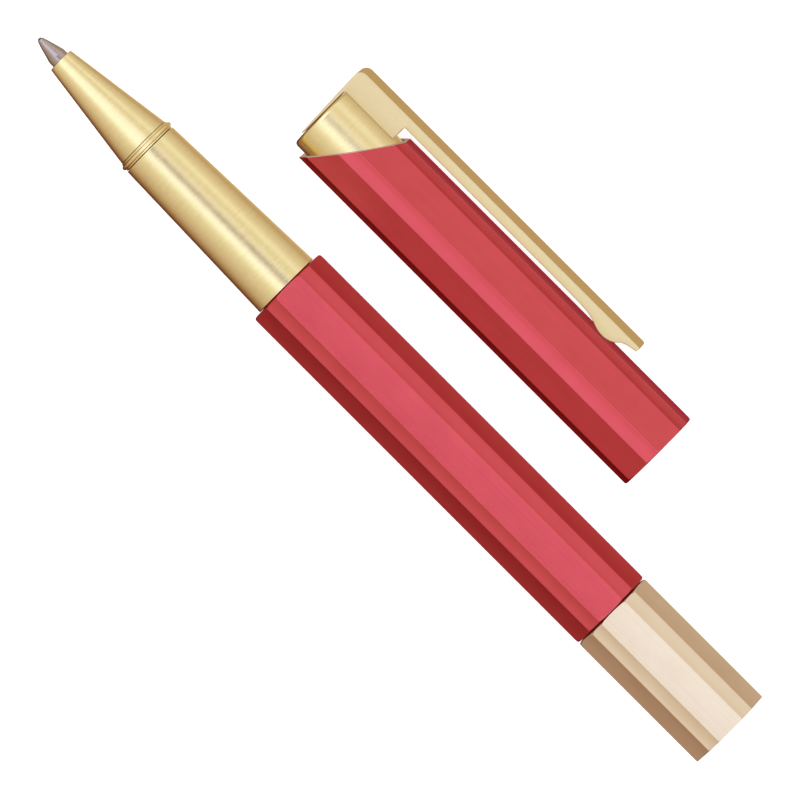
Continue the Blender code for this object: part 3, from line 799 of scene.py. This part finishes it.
def make_section_core():
    """The tube inside the section, with a true screw thread at its rear."""
    front, rear = pen_span("section_core")
    root, crest, pitch, thread_front, thread_rear = 3.62, 3.95, 1.2, 46.5, 53.9
    skin, run_out = 3.55, 0.8
    half_ridge, flank = 0.42, 0.26

    def threaded(point):
        radius = math.hypot(point.y, point.z)
        if radius < skin or not thread_front <= point.x <= thread_rear:
            return point
        turn = math.atan2(point.z, point.y) / (2 * math.pi)
        phase = ((point.x - thread_front) / pitch - turn) % 1.0
        ridge = min(max((half_ridge - abs(phase - 0.5)) / flank, 0.0), 1.0)
        fade = min((point.x - thread_front) / run_out, (thread_rear - point.x) / run_out, 1.0)
        grown_radius = root + (crest - root) * ridge * fade
        return Vector((point.x, point.y * grown_radius / radius, point.z * grown_radius / radius))

    rows = 110
    row_length = (thread_rear - thread_front) / rows
    thread = [(thread_front + row_length * row, root) for row in range(rows)]
    neck, shank, neck_bore, shank_bore = 3.08, 3.52, 2.6, 3.12
    neck_rear, bore_step, shank_rear = 20.6, 21.3, 46.2
    outline = [
        (front, neck), (neck_rear, neck), (neck_rear, shank), (shank_rear, shank),
        (shank_rear + 0.1, root), *thread, (thread_rear, root), (rear - 0.1, root),
        (rear, root - 0.1), (rear, shank_bore), (bore_step, shank_bore),
        (bore_step, neck_bore), (front, neck_bore),
    ]
    piece = turned("Section_core", outline, PEN, INNER_BRASS, FINE_STEPS, threaded)
    settle(piece, "section", "inner_brass", "section_core")


def make_front_bush():
    """The bush in the barrel's mouth, which the section screws into."""
    front, rear = pen_span("barrel_front_bush")
    outside, inside, mouth, mouth_depth = 4.87, 4.06, 4.50, 0.45
    corners = [
        (front, outside, 0.10), (rear, outside, 0.15), (rear, inside, 0.15),
        (front + mouth_depth, inside, 0.10), (front + mouth_depth, mouth, 0.02),
        (front, mouth, 0.06),
    ]
    piece = turned("Barrel_front_bush", softened(corners), PEN, INNER_BRASS)
    settle(piece, "barrel", "inner_brass", "barrel_front_bush")


def make_tail_washer():
    """The thin washer in the tail joint."""
    front, rear = pen_span("tail_washer")
    outside, inside = 5.15, 4.63
    corners = [
        (front, outside, 0.08), (rear, outside, 0.08), (rear, inside, 0.05),
        (front, inside, 0.05),
    ]
    piece = turned("Tail_washer", softened(corners), PEN, BLACK_RUBBER)
    settle(piece, "barrel", "black_rubber", "tail_washer")


def make_section_seal():
    """The O-ring on the section's shoulder."""
    front, rear = pen_span("section_seal")
    half = 0.5 * (rear - front)
    ring_radius, around = 4.02, 20
    centre = (front + half, ring_radius)
    outline = [on_arc(centre, half, 360.0 * step / around) for step in range(around)]
    piece = turned("Section_seal", outline, PEN, BLACK_RUBBER)
    settle(piece, "thread", "black_rubber", "section_seal")


def make_refill_tip():
    """The refill's steel nose, drawn in over the ball."""
    front, rear = pen_span("refill_tip")
    shank, spigot, shank_rear = 1.30, 1.08, 10.9
    bore, bore_front, channel, seat = 0.62, 5.0, 0.20, 0.385
    corners = [
        (front, 0.345, 0.0), (front + 0.04, 0.42, 0.02), (0.97, 0.66, 0.03),
        (3.20, shank - 0.02, 0.06), (3.32, shank, 0.03), (shank_rear, shank, 0.05),
        (shank_rear, spigot, 0.0), (rear, spigot, 0.05), (rear, bore, 0.0),
        (bore_front, bore, 0.0), (bore_front, channel, 0.0), (0.80, channel, 0.0),
        (0.55, seat, 0.0), (0.36, seat, 0.0),
    ]
    piece = turned("Refill_steel_nose", softened(corners, guard=0.01), PEN, STEEL, FINE_STEPS)
    settle(piece, "refill", "steel", "refill_tip")


def make_refill_ball():
    """The ball, whose front point is where the pen's millimetres start."""
    radius, rows = 0.35, 24
    arc = [on_arc((radius, 0.0), radius, 180.0 - 180.0 * row / rows) for row in range(1, rows)]
    outline = [(0.0, 0.0), *arc, (2 * radius, 0.0)]
    piece = turned("Writing_ball", outline, PEN, CARBIDE_PAINTED_SHADE, TINY_STEPS)
    settle(piece, "ball", "carbide", "refill_ball")


def at_cap_node(node, axis):
    """Drawing space at a cap node's middle, turned a quarter about one of the cap's axes."""
    depth = (MOUTH_X - middle(node).x) / MM
    quarter = Matrix.Rotation(0.5 * math.pi, 4, axis)
    return CAP @ Matrix.Translation((-depth, 0.0, 0.0)) @ quarter


# -------- wires


def tube_along(net, curve, wire_radius, finish, sides):
    """End a tree with a round tube along a curve, laid along x."""
    sockets = {"Resolution": sides, "Radius": wire_radius}
    rim = net.add("GeometryNodeCurvePrimitiveCircle", {"mode": "RADIUS"}, sockets)
    sockets = {"Curve": curve, "Profile Curve": rim.outputs["Curve"], "Fill Caps": True}
    tube = net.add("GeometryNodeCurveToMesh", None, sockets)
    sockets = {"Geometry": tube.outputs["Mesh"], "Rotation": (0.0, 0.5 * math.pi, 0.0)}
    lying = net.add("GeometryNodeTransform", None, sockets).outputs["Geometry"]
    solid = net.add("GeometryNodeRealizeInstances", None, {"Geometry": lying})
    net.give(solid.outputs["Geometry"], finish)


def coil_tree():
    """A helical spring of round wire."""
    inputs = dict.fromkeys(("Turns", "Coil radius", "Wire radius", "Length"), "Float")
    net, given = new_tree("Coil_spring", inputs)
    sockets = {
        "Start Radius": given["Coil radius"], "End Radius": given["Coil radius"],
        "Rotations": given["Turns"], "Height": given["Length"], "Resolution": 48,
    }
    spiral = net.add("GeometryNodeCurveSpiral", None, sockets)
    tube_along(net, spiral.outputs["Curve"], given["Wire radius"], given["Finish"], 12)
    return net.tree


def ring_tree():
    """A ring of round wire with a gap in it."""
    inputs = dict.fromkeys(("Ring radius", "Wire radius", "Opening"), "Float")
    net, given = new_tree("Open_ring", inputs)
    opening = Number(net, given["Opening"])
    sockets = {
        "Resolution": 120,
        "Radius": given["Ring radius"],
        "Start Angle": 0.5 * opening,
        "Sweep Angle": 2 * math.pi - opening,
    }
    arc = net.add("GeometryNodeCurveArc", None, sockets)
    tube_along(net, arc.outputs["Curve"], given["Wire radius"], given["Finish"], 14)
    return net.tree


def make_refill_spring():
    """The spring behind the refill."""
    front, rear = pen_span("refill_spring")
    wire = 0.22
    length = rear - front - 2 * wire
    values = {"Turns": 6.0, "Coil radius": 2.55, "Wire radius": wire, "Length": length}
    where = PEN @ Matrix.Translation((front + wire, 0.0, 0.0))
    seed = bpy.data.meshes.new("Coil_seed")
    piece = grown("Refill_spring_coil", seed, coil_tree(), values, where, SPRING_WIRE)
    settle(piece, "barrel", "spring_steel", "refill_spring")
    travel = joint_named("refill_push")["range_m"][1]
    1.0 - travel / MM / (rear - front)
    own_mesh(piece)


def make_snap_ring():
    """The open wire ring in the liner, standing across the cap's axis."""
    values = {"Ring radius": 4.52, "Wire radius": 0.25, "Opening": math.radians(48.0)}
    where = at_cap_node("cap_snap_ring", "X")
    seed = bpy.data.meshes.new("Ring_seed")
    piece = grown("Cap_snap_ring_wire", seed, ring_tree(), values, where, SPRING_WIRE)
    settle(piece, "cap", "spring_steel", "cap_snap_ring")


# -------- cap pieces


def make_inner_cap():
    """The cap's plastic liner: a straight mouth, the ring's groove, a cone and a small well."""
    mouth, groove_front, groove_rear = -12.0, -24.6, -26.3
    cone_end, well_end, closed_end = -41.8, -47.0, -48.4
    outside, groove, well = 5.03, 4.86, 2.1
    corners = [
        (closed_end, 0.0, 0.0), (closed_end, outside, 0.40), (mouth, outside, 0.08),
        (mouth, 4.75, 0.08), (groove_front, 4.66, 0.05), (groove_front, groove, 0.03),
        (groove_rear, groove, 0.03), (groove_rear, 4.2, 0.05), (cone_end, 2.7, 0.20),
        (cone_end, well, 0.10), (well_end, well, 0.10), (well_end, 0.0, 0.0),
    ]
    piece = turned("Cap_liner", softened(corners), CAP, BLACK_PLASTIC)
    settle(piece, "cap", "black_plastic", "inner_cap")


def make_tip_seal():
    """The rubber pad at the bottom of the liner's well."""
    back, face, radius = -46.85, -45.8, 2.0
    corners = [(back, 0.0, 0.0), (back, radius, 0.08), (face, radius, 0.15), (face, 0.0, 0.0)]
    piece = turned("Tip_seal_pad", softened(corners), CAP, BLACK_RUBBER, FINE_STEPS)
    settle(piece, "cap", "black_rubber", "tip_seal")


def make_finial():
    """The round brass plug in the closed end, with a flat filed on it for the clip."""
    flat_height, flat_end = 4.80, -52.98
    closed_end, open_end, end_wall = -61.75, -49.0, 1.45
    outside, inside = 5.06, 3.6

    def filed(point):
        if point.x <= flat_end and point.y > flat_height:
            return Vector((point.x, flat_height, point.z))
        return point

    corners = [
        (closed_end, 0.0, 0.0), (closed_end, outside, 0.65), (flat_end, outside, 0.0),
        (flat_end + 1e-3, outside, 0.0), (open_end, outside, 0.15),
        (open_end, inside, 0.1), (closed_end + end_wall, inside, 0.1),
        (closed_end + end_wall, 0.0, 0.0),
    ]
    piece = turned("Cap_finial_plug", softened(corners, 8), CAP, BRASS, STEPS, filed)
    settle(piece, "cap", "brushed_brass", "cap_finial")


def make_clip_screw(node):
    """A small cheese-head screw standing up into the clip's web."""
    head_base, head_top, head_radius = 3.25, 3.95, 1.0
    shank_radius, shank_top = 0.55, 7.3
    corners = [
        (head_base, 0.0, 0.0), (head_base, head_radius, 0.10),
        (head_top, head_radius, 0.05), (head_top, shank_radius, 0.03),
        (shank_top, shank_radius, 0.12), (shank_top, 0.0, 0.0),
    ]
    where = at_cap_node(node, "Z")
    piece = turned(node.title() + "_turned", softened(corners), where, STEEL, TINY_STEPS)
    settle(piece, "cap", "steel", node)


# -------- clip

CLIP_HALF_WIDTH = 2.85
CLIP_OUTER = 8.45
CLIP_INNER = 7.04
CLIP_END = -11.2
WEB_INNER = 4.84
WEB_END = -53.1
PLATE_FOOT = -3.0
FLEX_START = -52.6
FLEX_END = -52.3
FOOT_X = -15.9
FOOT_CROWN = 0.30
FOOT_LENGTH = 1.7
# The arm's lower edges near its end, as (x, height): down to the foot and up again.
UNDERSIDE = [
    (-24.0, CLIP_INNER), (-21.5, 7.00), (-19.5, 6.90), (-18.2, 6.62), (-17.0, 6.20),
    (FOOT_X, 6.05),
    (-14.9, 6.20), (-14.1, 6.60), (-13.5, 7.12), (-12.9, 7.42), (CLIP_END, 7.75),
]


def clip_underside(x):
    """Height of the arm's lower edges: a smooth curve through the points above."""
    if x <= UNDERSIDE[0][0]:
        return CLIP_INNER
    last = len(UNDERSIDE) - 1
    span = next((index for index in range(last) if x < UNDERSIDE[index + 1][0]), last - 1)
    before, start, end, after = (
        UNDERSIDE[min(max(index, 0), last)] for index in (span - 1, span, span + 1, span + 2)
    )
    length = end[0] - start[0]
    leave = (end[1] - before[1]) / (end[0] - before[0]) * length
    arrive = (after[1] - start[1]) / (after[0] - start[0]) * length
    t = (x - start[0]) / length
    return (
        (2 * t**3 - 3 * t**2 + 1) * start[1]
        + (t**3 - 2 * t**2 + t) * leave
        + (3 * t**2 - 2 * t**3) * end[1]
        + (t**3 - t**2) * arrive
    )


def clip_stations():
    """The clip from its plate to its end, as pairs of an outer and an inner point."""
    stations = []
    bend, bend_inside = 1.1, 0.3
    outer_bend = Vector((-61.32, CLIP_OUTER - bend))
    inner_bend = Vector((-61.57, WEB_INNER - bend_inside))
    plate_foot = Vector((-62.05, PLATE_FOOT))
    plate_top = on_arc(outer_bend, bend, 180.0)
    for y in (PLATE_FOOT, -2.9, -1.5, 0.0, 1.5, 3.0, 3.8, 4.2):
        t = (y - PLATE_FOOT) / (plate_top.y - PLATE_FOOT)
        stations.append((plate_foot.lerp(plate_top, t), Vector((inner_bend.x - bend_inside, y))))
    for step in range(11):
        angle = 180.0 - 9.0 * step
        stations.append((on_arc(outer_bend, bend, angle), on_arc(inner_bend, bend_inside, angle)))

    # The web, then the step up from it to the arm, whose stations fan out from a short stretch.
    for x in (-61.1, -59.0, -57.0, -55.0, -53.9, -53.5):
        stations.append((Vector((x, CLIP_OUTER)), Vector((x, WEB_INNER))))
    root_round = 0.35
    root_centre = Vector((WEB_END + root_round, 6.7))
    step_up = [Vector((WEB_END - 0.02, WEB_INNER)), Vector((WEB_END, WEB_INNER + 0.04))]
    step_up += [Vector((WEB_END, y)) for y in (5.6, 6.3, root_centre.y)]
    step_up += [on_arc(root_centre, root_round, 180.0 - angle) for angle in QUARTER]
    fan_start, fan_length = -53.3, 0.6
    for index, inner in enumerate(step_up):
        x = fan_start + fan_length * index / (len(step_up) - 1)
        stations.append((Vector((x, CLIP_OUTER)), inner))

    # The arm: close stations where it flexes and round its foot, wide ones between.
    arm = [FLEX_START + (FLEX_END - FLEX_START) * step / 6 for step in range(7)]
    arm += [-52.0, -50.0, -45.0, -40.0, -35.0, -30.0, -26.0, -24.0, -23.0]
    arm += [-22.0 + 0.25 * step for step in range(42)]
    for x in arm:
        stations.append((Vector((x, CLIP_OUTER)), Vector((x, clip_underside(x)))))
    tip_round = 0.3
    tip_centre = Vector((CLIP_END - tip_round, CLIP_OUTER - tip_round))
    for angle in QUARTER:
        outer = on_arc(tip_centre, tip_round, 90.0 - angle)
        inner_x = outer.x - 0.1
        stations.append((outer, Vector((inner_x, clip_underside(inner_x)))))
    return stations


def clip_section(outer, inner, crown):
    """A rounded rectangle between two points, as a ring of (x, y, z)."""
    along = inner - outer
    thickness = along.length
    along.normalize()
    most = 0.4 * thickness
    outer_round = min(0.10, most)
    inner_round = min(0.12, most)
    half = CLIP_HALF_WIDTH
    ring = []

    def corner(depth, z, size, start):
        for step in range(5):
            angle = math.radians(start - 22.5 * step)
            ring.append((depth + size * math.cos(angle), z + size * math.sin(angle)))

    ring.append((0.0, 0.0))
    ring.append((0.0, half - outer_round - 0.05))
    corner(outer_round, half - outer_round, outer_round, 180.0)
    ring.append((0.5 * thickness, half))
    corner(thickness - inner_round, half - inner_round, inner_round, 90.0)
    for fraction in (0.97, 0.75, 0.5, 0.25, 0.0, -0.25, -0.5, -0.75, -0.97):
        ring.append((thickness, fraction * (half - inner_round - 0.02)))
    corner(thickness - inner_round, -half + inner_round, inner_round, 0.0)
    ring.append((0.5 * thickness, -half))
    corner(outer_round, -half + outer_round, outer_round, -90.0)
    ring.append((0.0, -half + outer_round + 0.05))
    placed = []
    for depth, z in ring:
        swell = crown * (1.0 - (z / half) ** 2) * max(0.0, 2.0 * depth / thickness - 1.0)
        point = outer + along * (depth + swell)
        placed.append((point.x, point.y, z))
    return placed


def make_clip():
    """The clip in one strip: plate, web, springing arm and rounded foot."""
    sections = []
    for outer, inner in clip_stations():
        crown = FOOT_CROWN * math.exp(-(((outer.x - FOOT_X) / FOOT_LENGTH) ** 2))
        sections.append(clip_section(outer, inner, crown))
    around = len(sections[0])
    vertices = [point for section in sections for point in section]
    count = len(vertices)
    faces = [tuple(range(around)), tuple(range(count - around, count))]
    for row in range(len(sections) - 1):
        for step in range(around):
            turn = (step + 1) % around
            here = row * around
            faces.append((here + step, here + turn, here + around + turn, here + around + step))
    mesh = bpy.data.meshes.new("Clip_strip")
    mesh.from_pydata(vertices, [], faces)
    mesh.transform(CAP)
    weld(mesh)
    piece = new_piece(mesh, "Clip_strip", CLIP_BRASS)
    mesh.set_sharp_from_angle(angle=math.radians(50.0))
    piece.visible_glossy = False
    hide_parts("clip_head", "clip_arm")
    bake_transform(piece)


# -------- CAD pieces kept as they are

CARRIED_OVER = {
    "tail_connector": INNER_BRASS,
    "spring_cup": BLACK_PLASTIC,
    "refill_holder": BLACK_PLASTIC,
    "refill_tube": REFILL_PLASTIC,
    "refill_feed_rod": INKED_FIBRE,
    "refill_ink_filler": INKED_FIBRE,
    "refill_plug": BLACK_PLASTIC,
}


def paint_carried_over():
    """Give the hidden pieces, which keep their CAD shapes, their finishes."""
    for node, skin in CARRIED_OVER.items():
        mesh = frame["nodes"][node].data
        mesh.materials.clear()
        mesh.materials.append(skin)


# -------- studio

# Brightness of the studio round the pen's axis: degrees from straight up, towards the cap.
STUDIO = [
    (-180, 0.10), (-165, 0.05), (-150, 0.07), (-142, 0.11), (-126, 0.27), (-113, 0.41),
    (-103, 0.54), (-93, 0.63), (-76, 0.76), (-61, 0.89), (-54, 0.93), (-47, 1.00),
    (-40, 1.10), (-30, 1.34), (-20, 1.60), (-8, 1.65), (9, 1.65), (18, 1.45), (27, 1.20),
    (36, 1.02), (45, 1.00), (52, 1.16), (60, 1.24), (68, 1.12), (76, 0.96), (90, 0.84),
    (107, 0.72), (118, 0.60), (132, 0.50), (150, 0.66), (168, 0.64), (180, 0.10),
]
STUDIO_PEAK = 3.0


def studio_colour(level):
    """Whiter than its level where it is bright, browner where it is dark."""
    red_power, blue_power = (0.66, 1.22) if level < 1.0 else (0.74, 1.55)
    return tuple(value / STUDIO_PEAK for value in (level**red_power, level, level**blue_power))


def make_world():
    """Light that depends on the direction round the pen, with a dark spot where a camera hangs."""
    world = bpy.data.worlds.new("Studio")
    world.use_nodes = True
    world.node_tree.nodes.clear()
    net = Net(world.node_tree)
    direction = net.add("ShaderNodeTexCoord").outputs["Generated"]
    apart = net.add("ShaderNodeSeparateXYZ", None, {"Vector": direction}).outputs
    along, across, up = (Number(net, apart[axis]) for axis in "XYZ")
    around = across.math("ARCTAN2", across, up) * (180.0 / math.pi)
    stops = [((angle + 180.0) / 360.0, studio_colour(level)) for angle, level in STUDIO]
    ramp = net.add("ShaderNodeValToRGB", {"stops": stops}, {"Fac": (around + 180.0) / 360.0})
    spot = around.bell(7.0, 13.0) * along.bell(-0.09, 0.085)
    seen = net.between(spot, ramp.outputs["Color"], (0.06, 0.0, 0.0))
    background = net.add("ShaderNodeBackground", None, {"Color": seen, "Strength": STUDIO_PEAK})
    net.add("ShaderNodeOutputWorld", None, {"Surface": background.outputs["Background"]})
    bpy.context.scene.world = world


def make_table():
    """A plain pale table, kept out of the metals' reflections."""
    half = 2.0
    height = frame_low.z - 2e-5
    corners = [(x * half, y * half, height) for x, y in ((-1, -1), (1, -1), (1, 1), (-1, 1))]
    mesh = bpy.data.meshes.new("Table_top")
    mesh.from_pydata(corners, [], [(0, 1, 2, 3)])
    table = new_object("Table_top", mesh)
    finish = Finish("Pale_table")
    grey, white = (0.55, 0.55, 0.55, 1.0), (1.0, 1.0, 1.0, 1.0)
    glow = {"Emission_Color": white, "Emission_Strength": 0.72}
    mesh.materials.append(finish.done(grey, 0.9, Specular_IOR_Level=0.1, **glow))
    table.visible_glossy = False


def make_camera():
    """Straight down through a long lens, turned so that the pen runs corner to corner."""
    distance = 1.5
    lens_per_metre = 346.5
    aim_x, aim_y = 0.00294, -0.00005
    data = bpy.data.cameras.new("Camera")
    data.lens = lens_per_metre * distance
    data.sensor_width = 36.0
    data.clip_start = 0.01
    data.clip_end = 10.0
    camera = new_object("Camera", data)
    camera.location = (aim_x, PEN_AXIS.y + aim_y, PEN_AXIS.z + distance)
    camera.rotation_euler = (0.0, 0.0, math.radians(45.0))
    bpy.context.scene.camera = camera


def make_lights():
    """One large soft panel over the table."""
    data = bpy.data.lights.new("Overhead_panel", "AREA")
    data.shape = "RECTANGLE"
    data.size = 0.9
    data.size_y = 0.5
    data.energy = 1.0
    panel = new_object("Overhead_panel", data)
    panel.location = (0.0, 0.15, 0.9)
    panel.rotation_euler = (math.radians(-9.0), 0.0, 0.0)
    panel.visible_camera = False
    panel.visible_glossy = False


# -------- the whole object

make_camera()
make_world()
make_lights()
make_table()
bpy.context.scene.view_settings.view_transform = "Standard"

make_barrel()
make_tail()
make_nose_cone()
make_catch_ring()
make_grip_sleeve()
make_section_core()
make_front_bush()
make_tail_washer()
make_section_seal()
make_refill_tip()
make_refill_ball()
make_refill_spring()

make_cap_shell()
make_inner_cap()
make_snap_ring()
make_tip_seal()
make_finial()
for screw in ("clip_screw_upper", "clip_screw_lower"):
    make_clip_screw(screw)
make_clip()
paint_carried_over()
